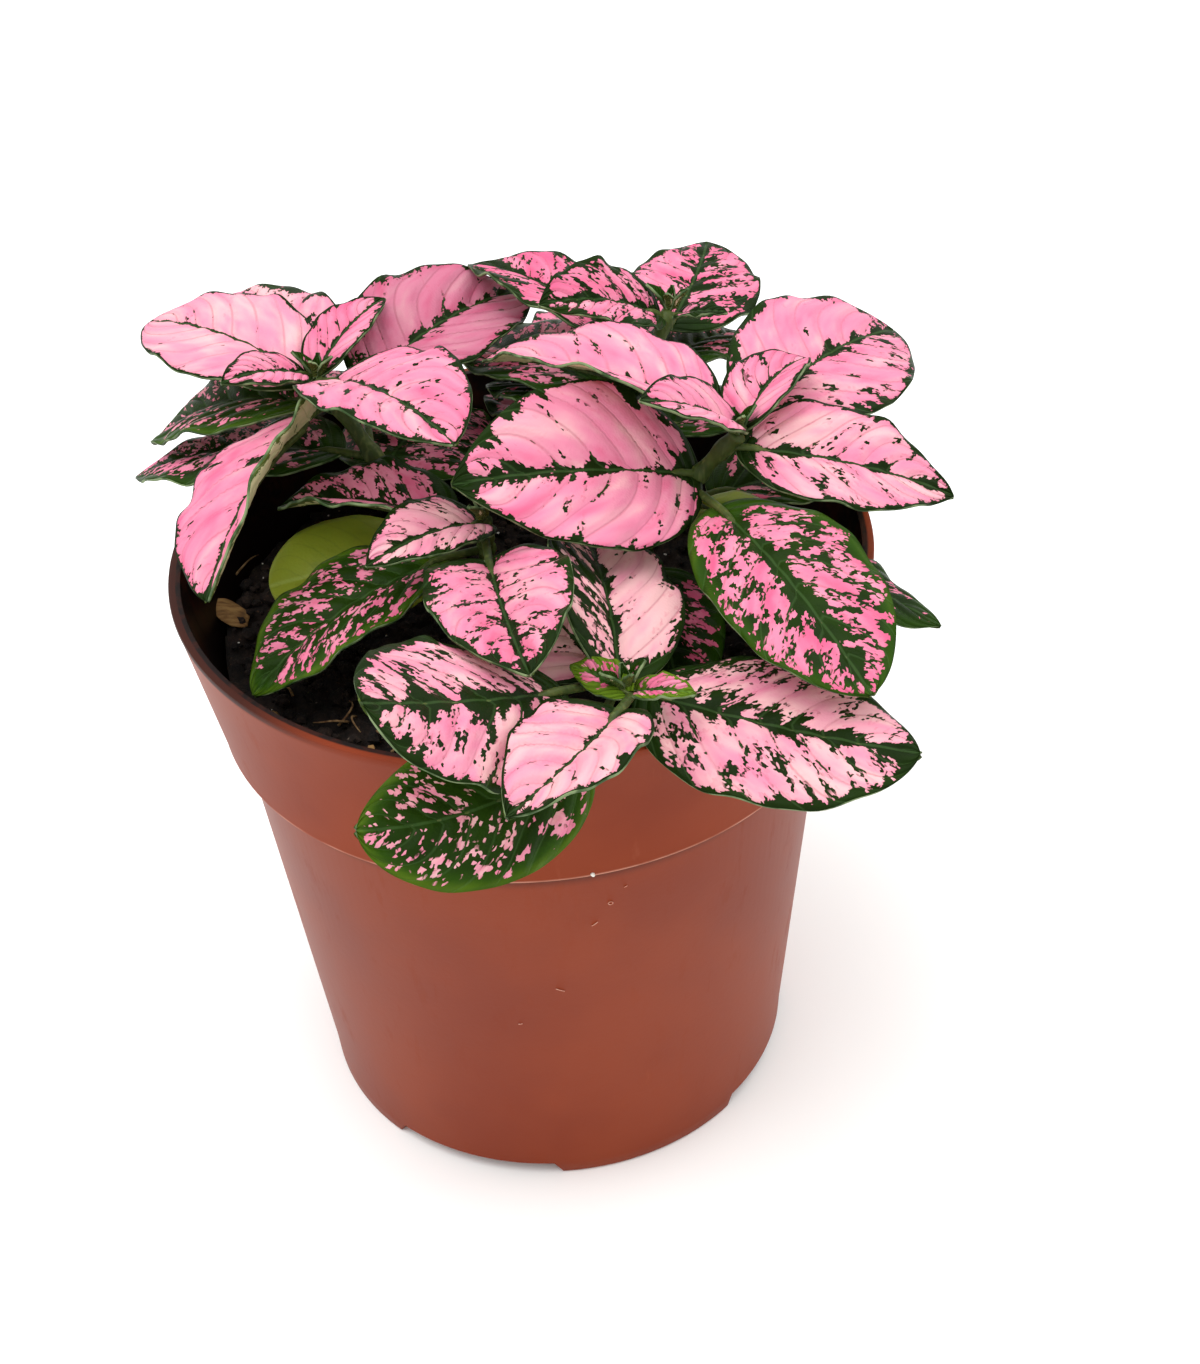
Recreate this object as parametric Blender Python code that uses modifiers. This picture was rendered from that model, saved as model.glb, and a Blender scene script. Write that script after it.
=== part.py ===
"""A polka dot plant in its nursery pot: the pot, the compost, five leafy shoots and all their leaves.

The pot stands on z = 0 with its axis on the Z axis. Lengths below are in metres unless a name says mm.
"""

import math

import bmesh
import bpy
import numpy as np
from mathutils import Vector

MM = 0.001
GAP = 0.3 * MM

# Pot: a thin moulded shell that steps out into a tapered band under its rim.
POT_HEIGHT = 95.4 * MM
RIM_RADIUS = 51.0 * MM
BAND_FOOT_Z = 71.4 * MM
BAND_FOOT_RADIUS = 46.6 * MM
BODY_TOP_RADIUS = 44.5 * MM
BASE_RADIUS = 37.5 * MM
WALL = 1.2 * MM
RIM_BEAD = 0.8 * MM
FLOOR_Z = 2.8 * MM
FOOT_WIDTH = 3.0 * MM
POT_STEPS = 48

# Foot ring: four feet with four gaps that let water out, and a ring of drain holes in the floor.
NOTCH_HEIGHT = 2.4 * MM
NOTCH_ANGLE = 41.0
FIRST_NOTCH_AT = -114.5
NOTCH_OVERREACH = 1.12
DRAIN_COUNT = 8
DRAIN_RADIUS = 2.6 * MM
DRAIN_CIRCLE = 22.0 * MM
DRAIN_STEPS = 12

# Compost.
COMPOST_TOP = 82.0 * MM
COMPOST_CROWN = 2.0 * MM
COMPOST_LUMP = 0.8 * MM
# How fast the lumps rise and fall along x and y, in radians a metre: the broad ones and the slanting ones.
BROAD_LUMPS = (210.0, 180.0)
SLANTING_LUMPS = (410.0, -330.0)

# Stems.
STEM_FOOT_RADIUS = 1.5 * MM
STEM_TIP_RADIUS = 1.1 * MM
STEM_POINTS = 10
STEM_FOOT_GAP = 1.2 * MM
# How far the stem has leant and risen, as shares of the whole, where its curve is pulled towards.
STEM_BEND_LEAN = 0.35
STEM_BEND_RISE = 0.55

# Leaves.
LEAF_THICKNESS = 0.7 * MM
PETIOLE_HALF_WIDTH = 0.8 * MM
TIP_HALF_WIDTH = 0.35 * MM
LOBE = 0.09
CURL = 24.0
MIDRIB_POINTS = 60

# What one kind of leaf shares: width as a share of length, stalk in mm, bend along the midrib, angle of
# each half to the midrib, and the two powers that make the base and the point blunt or sharp.
KINDS = {
    "grown": {"width": 0.65, "stalk": 7, "droop": 40, "fold": 20, "base": 0.55, "point": 0.85, "grid": (9, 4)},
    "young": {"width": 0.6, "stalk": 2, "droop": 35, "fold": 25, "base": 0.55, "point": 0.85, "grid": (6, 2)},
    "seed": {"width": 0.85, "stalk": 9, "droop": 30, "fold": 5, "base": 0.5, "point": 0.5, "grid": (7, 2)},
}


def leaf(name, place, heading, pitch, length, kind="grown", **other):
    """One leaf: place runs from 0 at the stem's foot to 1 at its tip, angles are in degrees, length in mm.
    Heading 0 is +X and 90 is +Y. What other gives replaces the value of the leaf's kind."""
    shape = {"name": name, "place": place, "heading": heading, "pitch": pitch, "length": length}
    return {**shape, "roll": 0, "sweep": 0, **KINDS[kind], **other}


# Each shoot: its foot on the compost (x, y) and its tip (x, y, z), in mm, and its leaves.
SHOOTS = {
    "left": {
        "foot": (-12, 8),
        "tip": (-28, 22, 112),
        "leaves": [
            leaf("left_leaf_1", 0.97, 144, 22, 31, stalk=4, width=0.7, roll=-5, fold=15, sweep=-5,
                 point=0.65),
            leaf("left_leaf_2", 0.98, 301, 32, 34, stalk=6, fold=25, point=0.68),
            leaf("left_leaf_3", 0.85, 46, 22, 34, stalk=8, width=0.7, roll=10, fold=25, point=0.78),
            leaf("left_leaf_4", 0.93, 115, 12, 33.5, stalk=8, droop=30, roll=-10, fold=10, sweep=10),
            leaf("left_leaf_5", 0.86, 148, 3, 32.5, width=0.7, droop=50, roll=-5, sweep=5),
            leaf("left_leaf_6", 0.61, 161, 7, 35, stalk=8, roll=5, fold=15, sweep=-5),
            leaf("left_leaf_7", 0.9, 236, 9, 35, droop=45, roll=30, fold=25, sweep=15, point=0.68),
            leaf("left_leaf_8", 0.55, 72, 1, 35, stalk=3, width=0.75, droop=35, roll=5, fold=-5, sweep=-15),
            leaf("left_leaf_9", 0.63, 95, 11, 31, stalk=11, droop=50),
            leaf("left_young_leaf_1", 1.02, 52, 34, 17.5, "young", stalk=1, width=0.55, droop=40, fold=30),
            leaf("left_young_leaf_2", 1.01, 223, 42, 15.5, "young", stalk=3, width=0.55, droop=40, roll=-15,
                 fold=20),
        ],
    },
    "middle": {
        "foot": (-5, 0),
        "tip": (-5, -8, 105),
        "leaves": [
            leaf("middle_leaf_1", 0.88, 271, 15, 30.5, stalk=15, width=0.7, droop=10, roll=5, fold=35,
                 sweep=10, point=0.7),
            leaf("middle_leaf_2", 0.76, 154, 21, 26.5, droop=45, roll=5, fold=30, sweep=5),
            leaf("middle_leaf_3", 0.63, 205, 11, 31.5, stalk=9, droop=50, roll=5, sweep=5, point=0.68),
            leaf("middle_young_leaf", 0.97, 225, 29, 20.5, "young", stalk=1, droop=40, roll=-10, sweep=-10),
            leaf("middle_seed_leaf", 0.35, 180, 18, 23, "seed", roll=-20, fold=10, sweep=5),
        ],
    },
    "front": {
        "foot": (5, -16),
        "tip": (12, -44, 101),
        "leaves": [
            leaf("front_leaf_1", 0.82, 323, 2, 35, width=0.7, droop=10, roll=10, fold=5, sweep=25,
                 point=0.65),
            leaf("front_leaf_2", 0.93, 88, 19, 34, stalk=3, width=0.6, droop=35, roll=25, fold=30, sweep=15),
            leaf("front_leaf_3", 1.05, 249, 17, 26, droop=15, fold=30, sweep=-20),
            leaf("front_leaf_4", 0.83, 227, 25, 33, stalk=13, width=0.75, droop=-5, roll=-25, fold=0,
                 sweep=-10, base=0.5, point=0.6),
            leaf("front_leaf_5", 0.89, 254, -2, 31, stalk=15, droop=-10, roll=-40, fold=0, sweep=-70,
                 base=0.5, point=0.6),
            leaf("front_leaf_6", 0.75, 121, 20, 25, stalk=3, width=0.7, droop=45, roll=-20, fold=5,
                 sweep=-10),
            leaf("front_young_leaf_1", 1.06, 137, 20, 9, "young", stalk=1, width=0.65, droop=30, roll=-15,
                 fold=20, sweep=5),
            leaf("front_young_leaf_2", 1.0, 328, 31, 9.5, "young", stalk=1, width=0.55, droop=30, roll=5),
        ],
    },
    "right": {
        "foot": (13, -2),
        "tip": (31, -7, 115),
        "leaves": [
            leaf("right_leaf_1", 0.76, 203, 25, 35, stalk=3, width=0.75, droop=20, roll=-35, sweep=-5),
            leaf("right_leaf_2", 1.01, 147, 24, 34, roll=10, fold=30, sweep=5),
            leaf("right_leaf_3", 0.93, -14, 1, 29, stalk=4, droop=30, roll=15, sweep=10),
            leaf("right_leaf_4", 0.91, 48, 17, 35.5, stalk=10, width=0.7, roll=20, fold=15, point=0.65),
            leaf("right_leaf_5", 0.69, 290, 15, 37.5, stalk=12, width=0.6, roll=5, fold=15, sweep=5,
                 point=0.62),
            leaf("right_leaf_6", 0.5, 324, 8, 32.5, stalk=11, droop=30, roll=-15, fold=5, sweep=5),
            leaf("right_leaf_7", 0.3, 275, 8, 26.5, droop=35, fold=15),
            leaf("right_leaf_8", 0.55, 24, 6, 28, stalk=9, droop=35),
            leaf("right_young_leaf_1", 1.04, 208, 47, 18, "young", droop=30, roll=-15),
            leaf("right_young_leaf_2", 1.01, 60, 32, 17.5, "young", width=0.65, droop=50, roll=-5, fold=35,
                 sweep=-15),
            leaf("right_seed_leaf", 0.6, 318, 16, 11, "seed", stalk=5, width=0.95, droop=15, roll=10,
                 fold=15, sweep=-25),
        ],
    },
    "back": {
        "foot": (10, 12),
        "tip": (25, 27, 116),
        "leaves": [
            leaf("back_leaf_1", 0.97, 206, 43, 20.5, stalk=3, width=0.7, roll=-20, fold=25),
            leaf("back_leaf_2", 0.77, 128, 28, 32, stalk=8, width=0.6, droop=45, roll=10, fold=25, sweep=5),
            leaf("back_leaf_3", 0.84, 60, 11, 26.5, stalk=8, width=0.8, droop=20, roll=5, fold=5, sweep=20,
                 point=0.7),
            leaf("back_leaf_4", 0.61, 131, 15, 33.5, droop=45),
            leaf("back_leaf_5", 0.53, 137, 16, 21, roll=5, fold=15),
            leaf("back_leaf_6", 0.69, 51, 10, 22.5, stalk=8, fold=15),
            leaf("back_leaf_7", 0.5, 90, 12, 38, stalk=18, droop=45),
            leaf("back_leaf_8", 0.43, 30, 10, 30, stalk=10, droop=45, roll=-5, fold=15),
            leaf("back_leaf_9", 0.35, 118, 18, 26, stalk=9, droop=45),
            leaf("back_young_leaf", 0.98, 326, 32, 8.5, "young", width=0.55, droop=30, fold=20),
        ],
    },
}


def clear_scene():
    for thing in list(bpy.data.objects):
        bpy.data.objects.remove(thing, do_unlink=True)


def collection(name):
    made = bpy.data.collections.new(name)
    bpy.context.scene.collection.children.link(made)
    return made


def material(name, colour, roughness):
    made = bpy.data.materials.new(name)
    made.use_nodes = True
    shader = made.node_tree.nodes["Principled BSDF"]
    shader.inputs["Base Color"].default_value = (*colour, 1.0)
    shader.inputs["Roughness"].default_value = roughness
    shader.inputs["Metallic"].default_value = 0.0
    made.diffuse_color = (*colour, 1.0)
    return made


def mesh_object(name, bm, home, finish):
    """A named object in the collection home, made from a bmesh."""
    mesh = bpy.data.meshes.new(name)
    bm.to_mesh(mesh)
    bm.free()
    made = bpy.data.objects.new(name, mesh)
    if finish is not None:
        mesh.materials.append(finish)
    home.objects.link(made)
    return made


def pot_profile():
    """The wall's outline at +X from the bead's top down the outside, under the floor and up the inside."""
    band_slope = (RIM_RADIUS - BAND_FOOT_RADIUS) / (POT_HEIGHT - BAND_FOOT_Z)
    inner_top = RIM_RADIUS - RIM_BEAD - WALL
    inner_step = BODY_TOP_RADIUS - WALL
    return [
        (RIM_RADIUS - RIM_BEAD / 2, POT_HEIGHT),
        (RIM_RADIUS, POT_HEIGHT - RIM_BEAD / 2),
        (RIM_RADIUS - band_slope * 2 * RIM_BEAD, POT_HEIGHT - 2 * RIM_BEAD),
        (BAND_FOOT_RADIUS, BAND_FOOT_Z),
        (BODY_TOP_RADIUS, BAND_FOOT_Z - GAP),
        (BASE_RADIUS, 0.0),
        (BASE_RADIUS - FOOT_WIDTH, 0.0),
        (BASE_RADIUS - FOOT_WIDTH - GAP, FLOOR_Z),
        (0.0, FLOOR_Z),
        (0.0, FLOOR_Z + WALL),
        (BASE_RADIUS - WALL, FLOOR_Z + WALL),
        (inner_step, BAND_FOOT_Z + WALL),
        (inner_top, POT_HEIGHT - RIM_BEAD / 2),
        (inner_top + RIM_BEAD / 2, POT_HEIGHT),
    ]


def turned(name, points, home, finish, steps):
    """A profile turned once round Z. It runs in a loop unless both its ends are on the axis."""
    bm = bmesh.new()
    verts = [bm.verts.new((x, 0.0, z)) for x, z in points]
    for first, second in zip(verts, verts[1:]):
        bm.edges.new((first, second))
    if points[0][0] > 0:
        bm.edges.new((verts[-1], verts[0]))
    made = mesh_object(name, bm, home, finish)
    screw = made.modifiers.new("turn", "SCREW")
    screw.steps = steps
    screw.render_steps = steps
    screw.use_merge_vertices = True
    screw.merge_threshold = 0.00001
    graph = bpy.context.evaluated_depsgraph_get()
    mesh = bpy.data.meshes.new_from_object(made.evaluated_get(graph))
    mesh.set_sharp_from_angle(angle=math.radians(30))
    made.modifiers.clear()
    made.data = mesh
    return made


def cutter(name, bm, home):
    made = mesh_object(name, bm, home, None)
    made.hide_render = True
    made.display_type = "WIRE"
    return made


def cut(target, tool):
    boolean = target.modifiers.new(tool.name, "BOOLEAN")
    boolean.operation = "DIFFERENCE"
    boolean.solver = "EXACT"
    boolean.object = tool


def notch_cutter(index, home):
    """A wedge-sided block that takes one gap out of the foot ring."""
    half = math.radians(NOTCH_ANGLE) / 2
    outer = BASE_RADIUS + 2 * MM
    inner = BASE_RADIUS - FOOT_WIDTH - 2 * MM
    bm = bmesh.new()
    bmesh.ops.create_cube(bm, size=1.0)
    for vert in bm.verts:
        radius = outer if vert.co.x > 0 else inner
        angle = half if vert.co.y > 0 else -half
        height = NOTCH_HEIGHT if vert.co.z > 0 else -2 * MM
        vert.co = (radius * math.cos(angle), radius * math.sin(angle), height)
    # The flat outer side of the block has to clear the round of the ring.
    for vert in bm.verts:
        if vert.co.x > BASE_RADIUS * math.cos(half):
            vert.co.xy *= NOTCH_OVERREACH
    made = cutter(f"notch_cutter_{index}", bm, home)
    made.rotation_euler.z = math.radians(FIRST_NOTCH_AT + 90 * index)
    return made


def drain_cutter(home):
    """All the drain holes as one mesh of separate cylinders."""
    bm = bmesh.new()
    for index in range(DRAIN_COUNT):
        angle = 2 * math.pi * index / DRAIN_COUNT
        made = bmesh.ops.create_cone(
            bm, cap_ends=True, segments=DRAIN_STEPS, radius1=DRAIN_RADIUS, radius2=DRAIN_RADIUS, depth=4 * WALL
        )
        centre = Vector((DRAIN_CIRCLE * math.cos(angle), DRAIN_CIRCLE * math.sin(angle), FLOOR_Z + WALL / 2))
        bmesh.ops.translate(bm, verts=made["verts"], vec=centre)
    return cutter("drain_cutter", bm, home)


def build_pot(parts, cutters):
    finish = material("pot_plastic", (0.29, 0.065, 0.03), 0.45)
    pot = turned("nursery_pot", pot_profile(), parts, finish, POT_STEPS)
    for index in range(4):
        cut(pot, notch_cutter(index, cutters))
    cut(pot, drain_cutter(cutters))
    return pot


def lumps(x, y):
    """Height in metres of the compost's gentle lumps at a place."""
    broad = math.sin(BROAD_LUMPS[0] * x + 1.0) * math.cos(BROAD_LUMPS[1] * y)
    slanting = math.sin(SLANTING_LUMPS[0] * x + SLANTING_LUMPS[1] * y + 2.0)
    return COMPOST_LUMP * (0.6 * broad + 0.4 * slanting)


def compost_height(x, y):
    radius = math.hypot(x, y) / RIM_RADIUS
    return COMPOST_TOP + COMPOST_CROWN * (1 - radius * radius) + lumps(x, y)


def build_compost(parts):
    """A plug that fills the pot from its floor to the lumpy top, a gap inside the wall."""
    inner = BODY_TOP_RADIUS - WALL
    wall_slope = (RIM_RADIUS - RIM_BEAD - WALL - inner) / (POT_HEIGHT - BAND_FOOT_Z - WALL)
    top_radius = inner + wall_slope * (COMPOST_TOP - BAND_FOOT_Z - WALL) - 2 * GAP
    foot_radius = BASE_RADIUS - WALL - 2 * GAP
    bottom = FLOOR_Z + WALL + GAP
    shoulder = BAND_FOOT_Z + WALL
    points = [(0.0, COMPOST_TOP)]
    points += [(top_radius * share, COMPOST_TOP) for share in (0.2, 0.4, 0.6, 0.8, 1.0)]
    points += [(inner - 2 * GAP, shoulder), (foot_radius, bottom), (0.0, bottom)]
    finish = material("compost", (0.012, 0.008, 0.006), 0.95)
    plug = turned("compost", points, parts, finish, POT_STEPS)
    for vert in plug.data.vertices:
        if vert.co.z > COMPOST_TOP - GAP:
            vert.co.z = compost_height(vert.co.x, vert.co.y)
    return plug


def stem_point(shoot, place):
    """The point on a shoot's stem: it leaves the compost upright and bends over towards its tip."""
    foot_x, foot_y = (value * MM for value in shoot["foot"])
    foot = Vector((foot_x, foot_y, compost_height(foot_x, foot_y) + STEM_FOOT_GAP))
    tip = Vector(shoot["tip"]) * MM
    bend = foot + STEM_BEND_LEAN * (tip - foot)
    bend.z = foot.z + STEM_BEND_RISE * (tip.z - foot.z)
    return (1 - place) ** 2 * foot + 2 * place * (1 - place) * bend + place**2 * tip


def build_stem(name, shoot, parts, finish):
    curve = bpy.data.curves.new(name, "CURVE")
    curve.dimensions = "3D"
    curve.bevel_depth = 1.0
    curve.bevel_resolution = 2
    curve.use_fill_caps = True
    spline = curve.splines.new("POLY")
    spline.points.add(STEM_POINTS - 1)
    for index, point in enumerate(spline.points):
        place = index / (STEM_POINTS - 1)
        point.co = (*stem_point(shoot, place), 1.0)
        point.radius = STEM_FOOT_RADIUS + place * (STEM_TIP_RADIUS - STEM_FOOT_RADIUS)
    curve.materials.append(finish)
    made = bpy.data.objects.new(name, curve)
    parts.objects.link(made)
    return made


def midrib(row, start, reach):
    """Points and directions along a leaf's stalk and midrib, as a function of the distance from the stem."""
    share = np.linspace(0.0, 1.0, MIDRIB_POINTS)
    pitch = np.radians(row["pitch"] - row["droop"] * share)
    heading = np.radians(row["heading"] + row["sweep"] * share)
    ahead = np.stack([np.cos(pitch) * np.cos(heading), np.cos(pitch) * np.sin(heading), np.sin(pitch)], 1)
    step = reach / (MIDRIB_POINTS - 1)
    moves = (ahead[1:] + ahead[:-1]) / 2 * step
    points = np.array(start) + np.vstack([np.zeros(3), np.cumsum(moves, axis=0)])

    def at(distance):
        here = np.clip(distance / reach, 0.0, 1.0)
        point = Vector([np.interp(here, share, points[:, axis]) for axis in range(3)])
        along = Vector([np.interp(here, share, ahead[:, axis]) for axis in range(3)]).normalized()
        turn = np.interp(here, share, heading)
        side = Vector((-math.sin(turn), math.cos(turn), 0.0))
        return point, along, side

    return at


def half_width(row, u):
    """Half the blade's width in metres, u running from 0 at its base to 1 at its point."""
    if u <= 0.0:
        return PETIOLE_HALF_WIDTH
    base, point = row["base"], row["point"]
    widest = base / (base + point)
    peak = widest**base * (1 - widest) ** point
    blade = u**base * (1 - u) ** point / peak * row["length"] * MM * row["width"] / 2
    stalk = PETIOLE_HALF_WIDTH + (TIP_HALF_WIDTH - PETIOLE_HALF_WIDTH) * u
    return max(blade, stalk)


def leaf_point(row, at, u, v):
    """A point of the blade's middle surface: v runs from -1 to 1 across it, and each half rises and curls."""
    length = row["length"] * MM
    inside = max(u, 0.0)
    reach = row["stalk"] * MM + length * (u - LOBE * v * v * (1 - inside) ** 3 * (u > 0))
    point, along, side = at(reach)
    upward = along.cross(side)
    roll = math.radians(row["roll"])
    across = side * math.cos(roll) + upward * math.sin(roll)
    normal = upward * math.cos(roll) - side * math.sin(roll)
    fold, curl, width = math.radians(row["fold"]), math.radians(CURL), half_width(row, u)
    out = (math.sin(fold) - math.sin(fold - curl * abs(v))) / curl
    rise = (math.cos(fold - curl * abs(v)) - math.cos(fold)) / curl
    return point + across * math.copysign(out * width, v) + normal * rise * width


def build_leaf(row, shoot, parts, finish):
    """A leaf with its stalk: a grid laid along the midrib, then given its thickness."""
    stalk, length = row["stalk"] * MM, row["length"] * MM
    at = midrib(row, stem_point(shoot, row["place"]), stalk + length)
    start = STEM_FOOT_RADIUS + LEAF_THICKNESS
    first = (start - stalk) / length
    along_count, across_count = row["grid"]
    bm = bmesh.new()
    bmesh.ops.create_grid(bm, x_segments=along_count, y_segments=across_count, size=1.0)
    for vert in bm.verts:
        u = first + (1 - first) * (vert.co.x + 1) / 2
        vert.co = leaf_point(row, at, u, vert.co.y)
    made = mesh_object(row["name"], bm, parts, finish)
    wall = made.modifiers.new("thickness", "SOLIDIFY")
    wall.thickness = LEAF_THICKNESS
    wall.offset = 0.0
    made.data.shade_smooth()
    return made


def build_plant(parts):
    stem_finish = material("stem", (0.12, 0.2, 0.04), 0.5)
    finishes = {
        "leaf": material("spotted_leaf", (0.85, 0.3, 0.4), 0.4),
        "seed": material("plain_leaf", (0.2, 0.3, 0.05), 0.4),
    }
    for name, shoot in SHOOTS.items():
        build_stem(f"{name}_stem", shoot, parts, stem_finish)
        for row in shoot["leaves"]:
            finish = finishes["seed" if "seed" in row["name"] else "leaf"]
            build_leaf(row, shoot, parts, finish)


def main():
    clear_scene()
    parts = collection("potted_polka_dot_plant")
    cutters = collection("cutters")
    build_pot(parts, cutters)
    build_compost(parts)
    build_plant(parts)


main()
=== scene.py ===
"""A polka dot plant in its nursery pot, finished: fine leaves, stems, compost and pot.

Lengths are in metres unless a name says mm. The pot stands on z = 0 with its axis on the Z axis.
"""

import math
import random

import bmesh
import bpy
import numpy as np
from mathutils import Matrix, Vector, noise


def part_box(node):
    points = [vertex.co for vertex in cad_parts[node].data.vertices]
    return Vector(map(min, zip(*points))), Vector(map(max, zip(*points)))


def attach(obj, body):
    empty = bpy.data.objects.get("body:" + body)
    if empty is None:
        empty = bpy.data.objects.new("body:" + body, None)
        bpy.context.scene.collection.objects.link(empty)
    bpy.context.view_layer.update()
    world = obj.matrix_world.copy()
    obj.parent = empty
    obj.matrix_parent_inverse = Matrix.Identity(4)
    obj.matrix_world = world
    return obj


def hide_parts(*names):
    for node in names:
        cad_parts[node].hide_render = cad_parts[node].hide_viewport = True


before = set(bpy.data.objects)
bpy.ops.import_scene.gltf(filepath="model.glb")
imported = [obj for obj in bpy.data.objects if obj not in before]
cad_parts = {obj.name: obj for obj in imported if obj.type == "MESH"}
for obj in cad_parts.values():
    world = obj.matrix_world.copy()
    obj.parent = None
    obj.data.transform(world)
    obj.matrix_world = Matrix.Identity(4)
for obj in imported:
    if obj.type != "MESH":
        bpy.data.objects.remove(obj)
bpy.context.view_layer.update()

MM = 0.001
TURN = 2 * math.pi

# The pot, measured on the plain model, and the places where its outline turns.
POT_LOW, POT_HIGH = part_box("nursery_pot")
POT_HEIGHT = POT_HIGH.z
RIM_RADIUS = POT_HIGH.x
BAND_FOOT_Z = 0.7485 * POT_HEIGHT
BAND_FOOT_RADIUS = 0.9137 * RIM_RADIUS
BODY_TOP_RADIUS = 0.8725 * RIM_RADIUS
BASE_RADIUS = 0.7353 * RIM_RADIUS
WALL = 1.2 * MM
LIP = 0.8 * MM
FLOOR_Z = 2.8 * MM
FOOT_WIDTH = 3.0 * MM
NOTCH_HEIGHT = 2.4 * MM
NOTCH_ANGLE = 41.0
FIRST_NOTCH_AT = -114.5
DRAIN_COUNT = 8
DRAIN_RADIUS = 2.6 * MM
DRAIN_CIRCLE = 22.0 * MM

# How far the band's inner face leans out for each metre of height, and the middle of its wall.
BAND_SLOPE = 0.19
MID_BAND_SLOPE = 0.22

# The compost: the same gentle mound as the plain model's, under a layer of crumbs. Its lumps are waves,
# measured in radians per metre along X and Y.
COMPOST_TOP = 82.0 * MM
COMPOST_CROWN = 2.0 * MM
COMPOST_LUMP = 0.8 * MM
BROAD_LUMPS = (210, 180)
SLANTING_LUMPS = (410, 330)

# Stems and leaves.
STEM_FOOT_RADIUS = 1.5 * MM
STEM_TIP_RADIUS = 1.1 * MM
STEM_BEND_LEAN = 0.35
STEM_BEND_RISE = 0.55
KNOT_LENGTH = 0.035
STALK_RADIUS = 0.62 * MM
STALK_REACH = 0.92
MIDRIB_GROOVE = 0.35
BLADE_THICKNESS = 0.38 * MM
PETIOLE_HALF_WIDTH = 0.8 * MM
TIP_HALF_WIDTH = 0.2 * MM
LOBE = 0.09
CURL = 24.0
VEIN_PAIRS = 7
LAYERS = ("blade", "veins", "marks", "tint", "grain")

# What one kind of leaf shares: width as a share of length, stalk in mm, bend along the midrib, angle of
# each half to the midrib, the two powers that make the base and the point blunt or sharp, the rows and
# columns of its mesh, and the height in mm of its quilting and of the waves along its edge.
KINDS = {
    "grown": {"width": 0.65, "stalk": 7, "droop": 40, "fold": 20, "base": 0.55, "point": 0.85,
              "grid": (64, 28), "quilt": 0.42, "wave": 0.6},
    "young": {"width": 0.6, "stalk": 2, "droop": 35, "fold": 25, "base": 0.55, "point": 0.85,
              "grid": (40, 18), "quilt": 0.2, "wave": 0.25},
    "bud": {"width": 0.5, "stalk": 1, "droop": 25, "fold": 45, "base": 0.6, "point": 0.9,
            "grid": (20, 10), "quilt": 0.08, "wave": 0.05},
    "seed": {"width": 0.85, "stalk": 9, "droop": 30, "fold": 5, "base": 0.5, "point": 0.5,
             "grid": (36, 20), "quilt": 0.05, "wave": 0.15},
}

# How a leaf is coloured: the share of it that is green (one number, or one for each half), the breadth in
# mm of the green along its midrib and its margin, how pale the pink is, how bright the green is, how large
# its patches are, and how many times longer than broad they are.
MARKS = {
    "pink": {"spots": 0.04, "midrib": 0.25, "margin": 0.45, "pale": 0.45, "lime": 0.1, "streak": 2.3},
    "speckled": {"spots": 0.25, "midrib": 0.7, "margin": 0.8, "pale": 0.4, "lime": 0.15, "streak": 2.0},
    "blotched": {"spots": 0.5, "midrib": 1.3, "margin": 1.3, "pale": 0.35, "lime": 0.4, "streak": 1.3,
                 "grain": 0.85},
    "plain": {"spots": 1.0, "midrib": 1.0, "margin": 1.0, "pale": 0.5, "lime": 0.8, "streak": 1.5},
}


def leaf(name, place, heading, pitch, length, mark="speckled", kind="grown", **other):
    """One leaf: place runs from 0 at the stem's foot to 1 at its tip, angles are in degrees, length in mm.
    Heading 0 is +X and 90 is +Y. What other gives replaces the value of the leaf's kind or mark."""
    usual = {"roll": 0, "sweep": 0, "curl": CURL, "tone": 1.0, "grain": 1.0, **KINDS[kind], **MARKS[mark]}
    shape = {"name": name, "place": place, "heading": heading, "pitch": pitch, "length": length}
    return {**usual, **shape, **other}


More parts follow.
